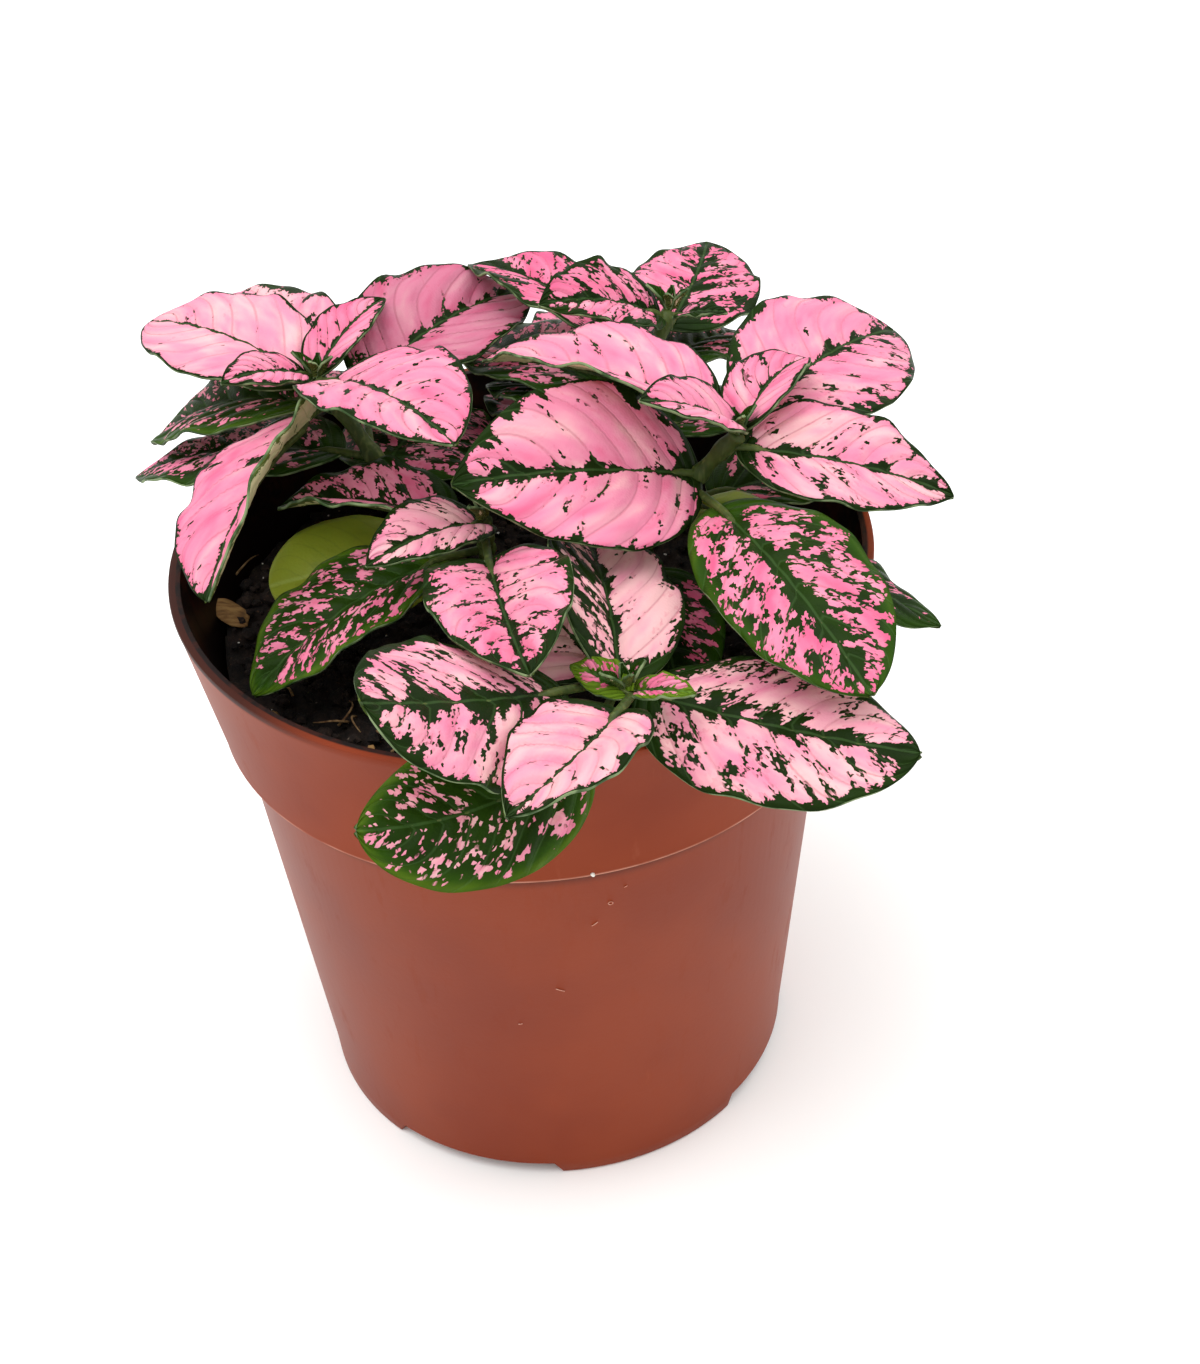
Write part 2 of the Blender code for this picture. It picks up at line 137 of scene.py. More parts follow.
# Each shoot: its foot on the compost (x, y) and its tip (x, y, z), in mm, and its leaves, whose pieces
# have the shoot's name in front. A pair of values is for a leaf's right half and its left half.
SHOOTS = {
    "left": {"foot": (-12, 8), "tip": (-28, 22, 112), "leaves": [
        leaf("leaf_1", 0.97, 144, 22, 31, "pink", stalk=4, width=0.7, roll=-5, fold=15, sweep=-5,
             pale=0.65, midrib=0.1, point=0.65, spots=0.0, margin=0.2),
        leaf("leaf_2", 0.98, 301, 32, 34, "pink", stalk=6, fold=25, spots=0.14, midrib=0.35, margin=0.5,
             grain=0.85, point=0.68),
        # This leaf is darkened as painted shade, through its painted shade factor.
        leaf("leaf_3", 0.85, 46, 22, 34, "pink", stalk=8, width=0.7, roll=10, fold=25, spots=0.02,
             midrib=0.7, margin=0.7, pale=0.4, point=0.78, tone=0.72),
        leaf("leaf_4", 0.93, 115, 12, 33.5, stalk=8, droop=30, roll=-10, fold=10, sweep=10, spots=0.3,
             pale=0.7),
        leaf("leaf_5", 0.86, 148, 3, 32.5, "blotched", width=0.7, droop=50, roll=-5, sweep=5,
             spots=0.68, margin=0.5, lime=0.7, pale=0.5, midrib=0.6, grain=0.8),
        leaf("leaf_6", 0.61, 161, 7, 35, "blotched", stalk=8, roll=5, fold=15, sweep=-5, pale=0.4,
             margin=0.5, midrib=0.6, grain=0.8),
        leaf("leaf_7", 0.9, 236, 9, 35, "pink", droop=45, roll=30, fold=(25, 15), sweep=15, margin=0.7,
             pale=0.4, midrib=0.2, curl=(CURL, -28), point=0.68),
        leaf("leaf_8", 0.55, 72, 1, 35, "blotched", stalk=3, width=0.75, droop=35, roll=5, fold=-5,
             sweep=-15, spots=0.48, margin=0.5, midrib=0.6, grain=0.8),
        leaf("leaf_9", 0.63, 95, 11, 31, stalk=11, droop=50, spots=0.4),
        leaf("young_leaf_1", 1.02, 52, 34, 17.5, "pink", "young", stalk=1, width=0.55, droop=40,
             fold=30, pale=0.35),
        leaf("young_leaf_2", 1.01, 223, 42, 15.5, "pink", "young", stalk=3, width=0.55, droop=40,
             roll=-15, fold=20, pale=0.5),
    ]},
    "middle": {"foot": (-5, 0), "tip": (-5, -8, 105), "leaves": [
        leaf("leaf_1", 0.88, 271, 15, 30.5, stalk=15, width=0.7, droop=10, roll=5, fold=35, sweep=10,
             spots=0.22, midrib=0.45, grain=0.8, pale=0.5, point=0.7),
        leaf("leaf_2", 0.76, 154, 21, 26.5, droop=45, roll=5, fold=30, sweep=5, spots=0.35,
             curl=(CURL, 5)),
        leaf("leaf_3", 0.63, 205, 11, 31.5, "blotched", stalk=9, droop=50, roll=5, sweep=5, spots=0.6,
             midrib=0.8, pale=0.4, margin=0.5, grain=0.7, lime=0.8, point=0.68, streak=1.1),
        leaf("young_leaf", 0.97, 225, 29, 20.5, "pink", "young", stalk=1, droop=40, roll=-10, sweep=-10,
             spots=0.16, pale=0.7, grain=0.7, margin=0.3),
        leaf("seed_leaf", 0.35, 180, 18, 23, "plain", "seed", roll=-20, fold=10, sweep=5, lime=1.0),
    ]},
    "front": {"foot": (5, -16), "tip": (12, -44, 101), "leaves": [
        leaf("leaf_1", 0.82, 323, 2, 35, width=0.7, droop=10, roll=10, fold=5, sweep=25, spots=0.3,
             midrib=0.8, pale=0.7, margin=0.6, point=0.65),
        leaf("leaf_2", 0.93, 88, 19, 34, stalk=3, width=0.6, droop=35, roll=25, fold=30, sweep=15,
             spots=(0.08, 0.5), pale=0.85),
        leaf("leaf_3", 1.05, 249, 17, 26, "pink", droop=15, fold=30, sweep=-20, spots=0.08, pale=0.75,
             grain=0.8),
        leaf("leaf_4", 0.83, 227, 25, 33, stalk=13, width=0.75, droop=-5, roll=-25, fold=0, sweep=-10,
             spots=0.32, midrib=1.0, base=0.5, point=0.6, grain=0.9, pale=0.65),
        leaf("leaf_5", 0.89, 254, -2, 31, "blotched", stalk=15, droop=-10, roll=-40, fold=0, sweep=-70,
             spots=0.68, margin=0.3, midrib=0.4, lime=0.8, pale=0.65, grain=0.55, base=0.5, point=0.6,
             streak=1.0),
        leaf("leaf_6", 0.75, 121, 20, 25, "pink", stalk=3, width=0.7, droop=45, roll=-20, fold=5,
             sweep=-10, pale=0.8),
        leaf("young_leaf_1", 1.06, 137, 20, 9, "blotched", "young", stalk=1, width=0.65, droop=30,
             roll=-15, fold=20, sweep=5, margin=0.5, midrib=0.4, lime=1.4, grain=0.6, spots=0.45),
        leaf("young_leaf_2", 1.0, 328, 31, 9.5, kind="young", stalk=1, width=0.55, droop=30, roll=5,
             margin=0.4, midrib=0.3, lime=1.2, grain=0.6),
    ]},
    "right": {"foot": (13, -2), "tip": (31, -7, 115), "leaves": [
        leaf("leaf_1", 0.76, 203, 25, 35, "pink", stalk=3, width=0.75, droop=20, roll=-35, sweep=-5,
             spots=0.1, midrib=0.9, margin=(1.5, 0.4), pale=0.5),
        leaf("leaf_2", 1.01, 147, 24, 34, "pink", roll=10, fold=30, sweep=5, pale=0.5, curl=(CURL, 13)),
        leaf("leaf_3", 0.93, -14, 1, 29, "pink", stalk=4, droop=30, roll=15, sweep=10, spots=0.12,
             midrib=0.6, pale=0.65),
        leaf("leaf_4", 0.91, 48, 17, 35.5, stalk=10, width=0.7, roll=20, fold=15, spots=(0.25, 0.02),
             midrib=0.8, margin=0.9, pale=0.5, point=0.65),
        leaf("leaf_5", 0.69, 290, 15, 37.5, "blotched", stalk=12, width=0.6, roll=5, fold=15, sweep=5,
             spots=0.44, midrib=0.9, margin=(0.5, 0.7), lime=0.65, grain=0.8, point=0.62, streak=1.1),
        leaf("leaf_6", 0.5, 324, 8, 32.5, "blotched", stalk=11, droop=30, roll=-15, fold=5, sweep=5),
        leaf("leaf_7", 0.3, 275, 8, 26.5, "blotched", droop=35, fold=15, pale=0.1),
        leaf("leaf_8", 0.55, 24, 6, 28, "blotched", stalk=9, droop=35),
        leaf("young_leaf_1", 1.04, 208, 47, 18, "pink", "young", droop=30, roll=-15, spots=0.08,
             pale=0.5),
        leaf("young_leaf_2", 1.01, 60, 32, 17.5, "pink", "young", width=0.65, droop=50, roll=-5,
             fold=35, sweep=-15, spots=0.08, midrib=0.4),
        leaf("seed_leaf", 0.6, 318, 16, 11, "plain", "seed", stalk=5, width=0.95, droop=15, roll=10,
             fold=15, sweep=-25, lime=0.55),
    ]},
    "back": {"foot": (10, 12), "tip": (25, 27, 116), "leaves": [
        leaf("leaf_1", 0.97, 206, 43, 20.5, stalk=3, width=0.7, roll=-20, fold=25, spots=0.35,
             midrib=0.5),
        leaf("leaf_2", 0.77, 128, 28, 32, stalk=8, width=0.6, droop=45, roll=10, fold=25, sweep=5,
             spots=0.38, pale=0.2),
        leaf("leaf_3", 0.84, 60, 11, 26.5, stalk=8, width=0.8, droop=20, roll=5, fold=5, sweep=20,
             spots=0.4, pale=0.3, point=0.7),
        leaf("leaf_4", 0.61, 131, 15, 33.5, "blotched", droop=45),
        leaf("leaf_5", 0.53, 137, 16, 21, "blotched", roll=5, fold=15, spots=0.62),
        leaf("leaf_6", 0.69, 51, 10, 22.5, "blotched", stalk=8, fold=15, spots=0.6),
        leaf("leaf_7", 0.5, 90, 12, 38, stalk=18, droop=45),
        leaf("leaf_8", 0.43, 30, 10, 30, "blotched", stalk=10, droop=45, roll=-5, fold=15),
        leaf("leaf_9", 0.35, 118, 18, 26, stalk=9, droop=45, spots=0.35),
        leaf("young_leaf", 0.98, 326, 32, 8.5, kind="young", width=0.55, droop=30, fold=20),
    ]},
}


# The large chip (x, y), the grain on the step (its angle), each root (x, y, heading, length, bend) and
# each fibre on the pot (angle, height, slope, length, bend), in mm and degrees.
WOOD_CHIP_PLACE = (-44.0, 4.5)
SPECK_ANGLE = 277.5
ROOTS = (
    (-44.0, 14.5, 40, 6.0, 30), (-27.5, -24.0, 45, 5.5, 60), (-26.0, -23.5, 200, 5.0, -50),
    (-25.0, -22.5, 260, 4.5, 40), (-22.0, -27.0, 300, 6.0, 25), (-34.0, -17.0, 130, 4.0, 45),
    (-39.0, -5.0, 80, 5.0, -35), (-20.0, -31.0, 20, 4.0, 50),
)
LINT = (
    (255.6, 68.2, -12, 3.2, 150), (281.5, 62.6, 60, 1.5, 170), (278.0, 59.0, 35, 1.1, 10),
    (270.6, 45.5, -30, 1.4, 8), (284.0, 65.5, 20, 0.5, 0), (262.0, 38.0, 10, 0.6, 20),
)


def joined_by(operation, flipped=False):
    """A method that gives this value and another to a Math node, the other one first if flipped."""
    def method(self, other):
        return self.math(operation, *((other, self) if flipped else (self, other)))
    return method


class Field:
    """One output of a node in a material. Arithmetic on it adds Math nodes."""

    def __init__(self, tree, socket=None):
        self.tree = tree
        self.socket = socket

    def node(self, kind, settings=None, inputs=None, output=0):
        """A new node: its settings first, then a value or a link for each input named."""
        made = self.tree.nodes.new(kind)
        for name, value in (settings or {}).items():
            setattr(made, name, value)
        for name, value in (inputs or {}).items():
            if isinstance(value, Field):
                self.tree.links.new(value.socket, made.inputs[name])
            else:
                made.inputs[name].default_value = value
        return Field(self.tree, made.outputs[output])

    def math(self, operation, *values):
        return self.node("ShaderNodeMath", {"operation": operation}, dict(enumerate(values)))

    __add__, __radd__ = joined_by("ADD"), joined_by("ADD", True)
    __sub__, __rsub__ = joined_by("SUBTRACT"), joined_by("SUBTRACT", True)
    __mul__, __rmul__ = joined_by("MULTIPLY"), joined_by("MULTIPLY", True)
    __truediv__, largest = joined_by("DIVIDE"), joined_by("MAXIMUM")

    def __abs__(self):
        return self.math("ABSOLUTE", self)

    def rise(self, low, high):
        """0 below low and 1 above high, with a smooth climb between. Low may be above high."""
        return self.node(
            "ShaderNodeMapRange",
            {"interpolation_type": "SMOOTHSTEP"},
            {"Value": self, "From Min": low, "From Max": high},
        )

    def blend(self, first, second):
        """The colour first where this value is 0, and second where it is 1."""
        return self.node("ShaderNodeMix", {"data_type": "RGBA"}, {0: self, 6: first, 7: second}, 2)

    def parts(self):
        """The three numbers of a vector."""
        return [self.node("ShaderNodeSeparateXYZ", None, {"Vector": self}, index) for index in range(3)]

    def vector(self, x, y, z):
        return self.node("ShaderNodeCombineXYZ", None, {"X": x, "Y": y, "Z": z})

    def noise(self, scale=1.0, detail=2.0, roughness=0.5):
        """Fractal noise at this vector, from 0 to 1."""
        return self.node(
            "ShaderNodeTexNoise",
            None,
            {"Vector": self, "Scale": scale, "Detail": detail, "Roughness": roughness},
        )

    def cells(self, scale):
        """Distance from this vector to the nearest of the points scattered through space."""
        return self.node("ShaderNodeTexVoronoi", None, {"Vector": self, "Scale": scale})

    def cell(self):
        """The nearest of the points scattered over a plane, and a random value of its own."""
        flat = {"voronoi_dimensions": "2D"}
        made = self.node("ShaderNodeTexVoronoi", flat, {"Vector": self, "Scale": 1.0})
        outputs = made.socket.node.outputs
        return Field(self.tree, outputs["Position"]), Field(self.tree, outputs["Color"]).parts()[0]


def colour(red, green, blue):
    """A colour for a shader, from the usual 0 to 255 values."""
    linear = [value / 255 / 12.92 if value <= 10 else ((value / 255 + 0.055) / 1.055) ** 2.4
              for value in (red, green, blue)]
    return (*linear, 1.0)


def new_finish(name, **constants):
    """A material, its shader with these constants on its sockets, and a place to start nodes from."""
    made = bpy.data.materials.new(name)
    made.use_nodes = True
    shader = made.node_tree.nodes["Principled BSDF"]
    for socket, value in constants.items():
        shader.inputs[socket.replace("_", " ")].default_value = value
    return made, shader, Field(made.node_tree)


def feed(start, shader, **links):
    """Links what varies over a surface to the shader's sockets."""
    for socket, field in links.items():
        start.tree.links.new(field.socket, shader.inputs[socket.replace("_", " ")])


def bump(start, height, distance, strength=1.0):
    inputs = {"Height": height, "Distance": distance, "Strength": strength}
    return start.node("ShaderNodeBump", None, inputs)


def piece_field(start, name):
    """A vector stored on a piece's own points."""
    return start.node("ShaderNodeAttribute", {"attribute_name": name}, None, 1)


def object_place(start):
    return start.node("ShaderNodeTexCoord", None, None, 3)


# ---- Finishes

DARK_GREEN = colour(20, 35, 7)
LEAF_GREEN = colour(38, 66, 10)
LIME_GREEN = colour(88, 116, 24)
DEEP_PINK = colour(212, 92, 130)
MID_PINK = colour(221, 132, 159)
PALE_PINK = colour(228, 178, 180)
CREAM = colour(232, 222, 176)
OLIVE = colour(98, 112, 44)


def off_vein(vein):
    """0 on a side vein and 1 midway between two."""
    return vein.math("PINGPONG", vein, 0.5) * 2.0


def leaf_markings(start):
    """Where a leaf is green (0 to 1), with the values its finishes share."""
    along, across, edge = piece_field(start, "blade").parts()
    flow, reach, vein = piece_field(start, "veins").parts()
    limit, midrib, margin = piece_field(start, "marks").parts()
    pale, lime, seed = piece_field(start, "tint").parts()
    # The grain layer also carries each leaf's painted shade factor, which darkens the leaf as painted
    # shade.
    grain, tone, streak = piece_field(start, "grain").parts()
    # Each small cell of the blade is green or pink as a whole, which gives the patches their ragged edges.
    off_midrib = abs(across)
    slant = along - off_midrib * 0.6
    sway = start.vector(slant, across, seed).noise(0.9) - 0.5
    place, chance = start.vector(slant * 2.7 + sway * 2.0, across * 2.4 - sway * 2.0, 0.0).cell()
    cell_x, cell_y, _ = place.parts()
    patches = start.vector(cell_x / grain, cell_y / (grain * streak), seed).noise(0.23, 2.0, 0.58)
    blots = start.vector(slant / grain, across / (grain * streak), seed + 4.0).noise(0.26, 1.0, 0.5)
    uneven = start.vector(slant, across * 0.6, seed + 8.0).noise(0.2, 1.0, 0.5).rise(0.3, 0.7)
    rib = off_vein(vein).rise(0.16, 0.0)
    # Green gathers in a thin line along the midrib, the margin and the veins, and in a ragged band there.
    midrib_band = off_midrib.rise(midrib * 3.4 * uneven + 0.3, 0.0) * 0.26
    margin_band = edge.rise(margin * 3.0 * uneven + 0.6, 0.0) * 0.22
    field = patches * 0.72 + blots * 0.28 + (chance - 0.5) * 0.1
    field = field + (off_midrib.rise(0.3, 0.05) * 0.08 + midrib_band)
    field = field + (edge.rise(0.33, 0.18) * 0.6 + margin_band)
    field = field + rib * 0.08 * off_midrib.rise(9.0, 2.0)
    green = field.rise(limit - 0.010, limit + 0.010)
    halo = field.rise(limit - 0.07, limit)
    return {
        "along": along, "across": across, "edge": edge, "flow": flow, "reach": reach, "vein": vein,
        "green": green, "halo": halo, "rib": rib, "pale": pale, "lime": lime, "seed": seed, "tone": tone,
    }


def leaf_bump(start, at):
    """Quilting between the veins and a fine grain of cells."""
    pillow = off_vein(at["vein"])
    cells = start.vector(at["along"], at["across"], at["seed"]).cells(2.6)
    height = pillow.rise(0.0, 0.7) * 0.55 + cells * 0.12 - at["rib"] * 0.25
    return bump(start, height, 0.35 * MM, 0.8)


def spotted_leaf():
    made, shader, start = new_finish("spotted_leaf", Specular_IOR_Level=0.05)
    at = leaf_markings(start)
    drift = start.vector(at["flow"], at["reach"], at["seed"] + 3.0).noise(0.22)
    paleness = at["pale"] + (drift - 0.5) * 1.3 - at["edge"].rise(2.0, 0.2) * 0.12
    pink = paleness.rise(0.0, 0.5).blend(DEEP_PINK, MID_PINK)
    pink = paleness.rise(0.4, 1.0).blend(pink, PALE_PINK)
    pink = (at["rib"] * drift.rise(0.35, 0.6) * 0.4).blend(pink, colour(172, 84, 104))
    pink = (at["halo"] * 0.30).blend(pink, colour(206, 92, 118))
    # Painted shade: a leaf set in shade has its pink darkened towards black by its own factor.
    pink = at["tone"].blend(colour(0, 0, 0), pink)
    bright = at["lime"] * (at["edge"].rise(3.0, 0.3) * 0.6 + 0.3) + (drift - 0.5) * 0.4
    green = bright.rise(0.0, 0.55).blend(DARK_GREEN, LEAF_GREEN)
    green = bright.rise(0.5, 1.0).blend(green, LIME_GREEN)
    pale_line = (at["rib"] * 0.16).largest(abs(at["across"]).rise(0.28, 0.10) * 0.22)
    green = pale_line.blend(green, colour(84, 118, 66))
    feed(
        start, shader,
        Base_Color=at["green"].blend(pink, green),
        Roughness=0.46 - at["green"] * 0.08 + (drift - 0.5) * 0.12,
        Normal=leaf_bump(start, at),
    )
    return made


def leaf_underside():
    made, shader, start = new_finish("leaf_underside", Specular_IOR_Level=0.1)
    at = leaf_markings(start)
    drift = start.vector(at["flow"], at["reach"], at["seed"] + 3.0).noise(0.3)
    cream = drift.rise(0.35, 0.7).blend(CREAM, colour(206, 208, 150))
    green = drift.rise(0.3, 0.7).blend(OLIVE, colour(66, 92, 48))
    base = at["green"].blend(cream, green)
    feed(
        start, shader,
        Base_Color=(at["rib"] * 0.4).blend(base, colour(182, 190, 126)),
        Roughness=0.6 + (drift - 0.5) * 0.2,
        Normal=leaf_bump(start, at),
    )
    return made


def plain_leaf():
    """The smooth green seed leaves."""
    made, shader, start = new_finish(
        "plain_leaf", Subsurface_Weight=0.15, Subsurface_Scale=0.001, Specular_IOR_Level=0.25
    )
    along, across, edge = piece_field(start, "blade").parts()
    flow, reach, vein = piece_field(start, "veins").parts()
    lime = piece_field(start, "tint").parts()[1]
    drift = start.vector(flow, reach, lime).noise(0.16, 3.0, 0.55)
    bright = lime * 0.75 + (drift - 0.5) * 0.8 + edge.rise(4.0, 0.5) * 0.2
    base = bright.rise(0.2, 0.9).blend(colour(58, 78, 8), colour(142, 154, 44))
    midrib = abs(across).rise(0.55, 0.1) * 0.35
    base = midrib.blend(base, colour(178, 192, 104))
    rib = off_vein(vein).rise(0.2, 0.0)
    base = (rib * 0.15).blend(base, colour(64, 92, 26))
    grain = start.vector(along, across, lime).cells(2.2)
    feed(
        start, shader,
        Base_Color=base,
        Roughness=0.42 + (drift - 0.5) * 0.25,
        Normal=bump(start, grain * 0.3 + drift, 0.3 * MM, 0.4),
    )
    return made


def green_stem():
    """Green stems and stalks, ridged along their length and flushed with brown."""
    made, shader, start = new_finish(
        "green_stem", Subsurface_Weight=0.1, Subsurface_Scale=0.0008, Specular_IOR_Level=0.2
    )
    place = object_place(start)
    drift = place.noise(160.0, 3.0, 0.6)
    x, y, z = place.parts()
    streaks = start.vector(x * 900.0, y * 900.0, z * 120.0).noise(1.0, 2.0, 0.6)
    base = drift.rise(0.3, 0.7).blend(colour(46, 60, 24), colour(78, 92, 40))
    base = (streaks.rise(0.5, 0.75) * 0.4).blend(base, colour(120, 128, 74))
    base = (drift.rise(0.6, 0.8) * 0.4).blend(base, colour(96, 62, 44))
    feed(
        start, shader,
        Base_Color=base,
        Roughness=0.5 + (streaks - 0.5) * 0.3,
        Normal=bump(start, streaks, 0.15 * MM, 0.6),
    )
    return made


def pot_plastic():
    """Brown plastic with a satin face; a pale line on the band's foot is painted highlight with worn wear,
    and the inside is painted dark as shade with peat stains.
    """
    made, shader, start = new_finish("pot_plastic", Specular_IOR_Level=0.12)
    place = object_place(start)
    x, y, z = place.parts()
    drift = place.noise(28.0, 3.0, 0.55)
    fine = place.noise(900.0, 2.0, 0.6)
    scuffs = start.vector(x * 260.0, y * 260.0, z * 60.0).noise(1.0, 4.0, 0.7)
    base = drift.rise(0.35, 0.65).blend(colour(121, 45, 18), colour(131, 53, 24))
    base = (scuffs.rise(0.62, 0.8) * 0.16).blend(base, colour(170, 104, 82))
    # The band's foot is a sharp moulded edge; the pale line painted along it is partly worn wear and
    # partly painted highlight.
    near_step = abs(z - BAND_FOOT_Z).rise(0.45 * MM, 0.1 * MM)
    step_highlight_and_wear = near_step * place.noise(90.0, 3.0, 0.6).rise(0.3, 0.6)
    base = (step_highlight_and_wear * 0.7).blend(base, colour(206, 150, 128))
    # Painted shade darkens the inside down from the lip, with peat stains in it near the compost, and the
    # rim itself is darker on the pot's left.
    from_axis = start.vector(x, y, 0.0)
    radius = start.node("ShaderNodeVectorMath", {"operation": "LENGTH"}, {0: from_axis}, 1)
    wall = BODY_TOP_RADIUS + 0.3 * MM + (z - BAND_FOOT_Z) * MID_BAND_SLOPE
    inside = (wall - radius).rise(-0.2 * MM, 0.2 * MM) * z.rise(0.5 * BAND_FOOT_Z, 0.6 * BAND_FOOT_Z)
    splashed = z.rise(COMPOST_TOP + 8 * MM, COMPOST_TOP + 3 * MM)
    peaty = place.noise(240.0, 4.0, 0.7).rise(0.4, 0.55).largest(splashed)
    darker_left_lip = z.rise(POT_HEIGHT - 1.4 * MM, POT_HEIGHT - 0.7 * MM) * x.rise(-24 * MM, -40 * MM)
    # Painted shade on the inside together with peat stains, and the darker lip on the left.
    painted_shade_and_peat = (inside * (0.9 + peaty * 0.1)).largest(darker_left_lip * 0.85)
    base = painted_shade_and_peat.blend(base, colour(20, 10, 9))
    feed(
        start, shader,
        Base_Color=base,
        Roughness=0.36 + drift * 0.12 + scuffs.rise(0.55, 0.8) * 0.12 + step_highlight_and_wear * 0.1,
        Normal=bump(start, fine * 0.35 + drift, 0.10 * MM, 0.35),
    )
    return made


def peat():
    """Dark, damp peat with brown fibres and a few pale flecks."""
    made, shader, start = new_finish("peat", Specular_IOR_Level=0.3)
    place = object_place(start)
    clods = place.noise(300.0, 4.0, 0.7)
    flecks = place.cells(420.0)
    fibres = place.noise(900.0, 3.0, 0.7)
    base = clods.rise(0.35, 0.7).blend(colour(14, 10, 9), colour(44, 32, 26))
    base = (fibres.rise(0.62, 0.72) * 0.5).blend(base, colour(92, 66, 46))
    pale = flecks.rise(0.12, 0.05) * place.noise(120.0).rise(0.55, 0.65) * 0.7
    base = pale.blend(base, colour(150, 134, 118))
    feed(
        start, shader,
        Base_Color=base,
        Roughness=0.95 - clods.rise(0.6, 0.8) * 0.3,
        Normal=bump(start, clods + fibres * 0.4, 0.6 * MM, 0.9),
    )
    return made


def tan_wood():
    """Chips of bark and grit in the compost."""
    made, shader, start = new_finish("tan_wood", Specular_IOR_Level=0.3)
    place = object_place(start)
    x, y, z = place.parts()
    grain = start.vector(x * 300.0, y * 1300.0, z * 900.0).noise(1.0, 3.0, 0.6)
    base = grain.rise(0.3, 0.7).blend(colour(104, 72, 38), colour(160, 122, 74))
    base = (place.noise(500.0, 3.0, 0.6).rise(0.55, 0.75) * 0.5).blend(base, colour(70, 48, 32))
    feed(
        start, shader,
        Base_Color=base,
        Roughness=0.75 + grain * 0.15,
        Normal=bump(start, grain, 0.2 * MM, 0.7),
    )
    return made


# The simplest finishes. Each: its specular level, the noise that it drifts with (scale, detail and
# roughness), half the range of that drift, its two colours, and its roughness with what the drift adds.
DRIFTING_FINISHES = {
    "leaf_rim": (0.15, (420.0, 2.0, 0.5), 0.15, (52, 76, 40), (122, 140, 98), 0.5, 0.15),
    "dry_root": (0.2, (700.0, 3.0, 0.6), 0.15, (90, 62, 38), (150, 120, 84), 0.75, 0.15),
    "pale_lint": (0.2, (1600.0, 2.0, 0.6), 0.15, (196, 124, 102), (222, 170, 150), 0.7, 0.2),
    "white_grit": (0.3, (2400.0, 2.0, 0.6), 0.15, (222, 216, 206), (250, 248, 242), 0.6, 0.2),
    "studio_floor": (0.2, (3.0, 2.0, 0.5), 0.2, (252, 252, 251), (255, 255, 254), 0.75, 0.1),
}


def drifting_finish(name):
    specular, grain, spread, dark, light, rough, rougher = DRIFTING_FINISHES[name]
    made, shader, start = new_finish(name, Specular_IOR_Level=specular)
    drift = object_place(start).noise(*grain)
    feed(
        start, shader,
        Base_Color=drift.rise(0.5 - spread, 0.5 + spread).blend(colour(*dark), colour(*light)),
        Roughness=rough + drift * rougher,
    )
    return made


# ---- Shapes

def new_object(name, data):
    made = bpy.data.objects.new(name, data)
    bpy.context.scene.collection.objects.link(made)
    return made


def applied(made):
    """The mesh of an object with its modifiers applied; they are taken off the object."""
    graph = bpy.context.evaluated_depsgraph_get()
    mesh = bpy.data.meshes.new_from_object(made.evaluated_get(graph))
    made.modifiers.clear()
    return mesh


def new_piece(name, bm, finishes, slot, *nodes, smooth=True):
    """A piece on the root body, made from a bmesh, that stands for these CAD nodes."""
    mesh = bpy.data.meshes.new(name)
    bm.to_mesh(mesh)
    bm.free()
    for finish in finishes:
        mesh.materials.append(finish)
    if smooth:
        mesh.shade_smooth()
    made = new_object(name, mesh)
    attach(made, "root")
    if nodes:
        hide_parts(*nodes)
    return made


def lumps(x, y):
    """Height in metres of the compost's gentle lumps at a place."""
    broad = math.sin(BROAD_LUMPS[0] * x + 1.0) * math.cos(BROAD_LUMPS[1] * y)
    slanting = math.sin(SLANTING_LUMPS[0] * x - SLANTING_LUMPS[1] * y + 2.0)
    return COMPOST_LUMP * (0.6 * broad + 0.4 * slanting)


def compost_height(x, y):
    radius = math.hypot(x, y) / RIM_RADIUS
    return COMPOST_TOP + COMPOST_CROWN * (1 - radius * radius) + lumps(x, y)


def tube(bm, path, radius, rings, sides, finish=0):
    """A closed tube: a grid rolled up round a path. Both path and radius take a share from 0 to 1."""
    made = bmesh.ops.create_grid(bm, x_segments=rings, y_segments=sides, size=1.0)
    points = [Vector(path(index / rings)) for index in range(rings + 1)]
    side = None
    frames = []
    for index, point in enumerate(points):
        ahead = (points[min(index + 1, rings)] - points[max(index - 1, 0)]).normalized()
        side = (side or Vector((0.31, 0.95, 0.05))).cross(ahead).cross(ahead) * -1
        side = side.normalized()
        frames.append((point, side, ahead.cross(side)))
    for vert in made["verts"]:
        index = round((vert.co.x + 1) / 2 * rings)
        angle = math.pi * (vert.co.y + 1)
        point, side, up = frames[index]
        size = radius(index / rings)
        vert.co = point + (side * math.cos(angle) + up * math.sin(angle)) * size
    bmesh.ops.remove_doubles(bm, verts=made["verts"], dist=1e-7)
    ring_faces = {face for vert in made["verts"] if vert.is_valid for face in vert.link_faces}
    open_edges = [edge for face in ring_faces for edge in face.edges if edge.is_boundary]
    ends = bmesh.ops.holes_fill(bm, edges=open_edges, sides=0)
    ring_faces.update(ends["faces"])
    for face in ring_faces:
        face.material_index = finish
        face.smooth = True
    bmesh.ops.recalc_face_normals(bm, faces=list(ring_faces))


def stem_point(shoot, place):
    """The point on a shoot's stem: it leaves the compost upright and bends over towards its tip."""
    foot_x, foot_y = (value * MM for value in shoot["foot"])
    foot = Vector((foot_x, foot_y, compost_height(foot_x, foot_y)))
    tip = Vector(shoot["tip"]) * MM
    lean, rise = STEM_BEND_LEAN, STEM_BEND_RISE
    bend = foot + Vector((lean, lean, rise)) * (tip - foot)
    return (1 - place) ** 2 * foot + 2 * place * (1 - place) * bend + place**2 * tip


